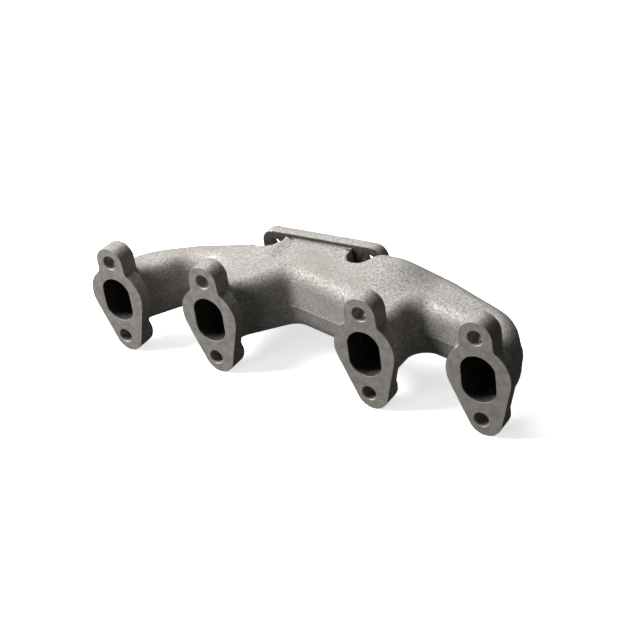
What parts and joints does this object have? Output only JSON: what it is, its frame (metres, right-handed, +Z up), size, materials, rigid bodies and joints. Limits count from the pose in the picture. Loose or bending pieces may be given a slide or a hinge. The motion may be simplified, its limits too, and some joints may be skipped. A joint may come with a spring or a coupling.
{
  "type": "exhaust manifold",
  "caption": "Cast iron log-style turbo exhaust manifold for an in-line engine, with separate oval two-stud port flanges, short curved runners and a rectangular turbo flange",
  "frame": {"origin": "in the cylinder-head joint face, midway between the two middle ports and midway between the upper and lower stud holes", "axes": "+X along the head from port 1 to port 4, +Y away from the head towards the turbocharger, +Z up"},
  "size_m": [0.3578, 0.096, 0.0902],
  "materials": {
    "cast_iron": "rough sand-cast",
    "flange_iron": "fine ground face"
  },
  "bodies": {
    "root": {"port_flange_1": "flange_iron", "port_flange_2": "flange_iron", "port_flange_3": "flange_iron", "port_flange_4": "flange_iron", "runner_1": "cast_iron", "runner_2": "cast_iron", "runner_3": "cast_iron", "runner_4": "cast_iron", "collector_left": "cast_iron", "collector_middle": "cast_iron", "collector_right": "cast_iron", "turbo_flange": "flange_iron"}
  },
  "joints": []
}
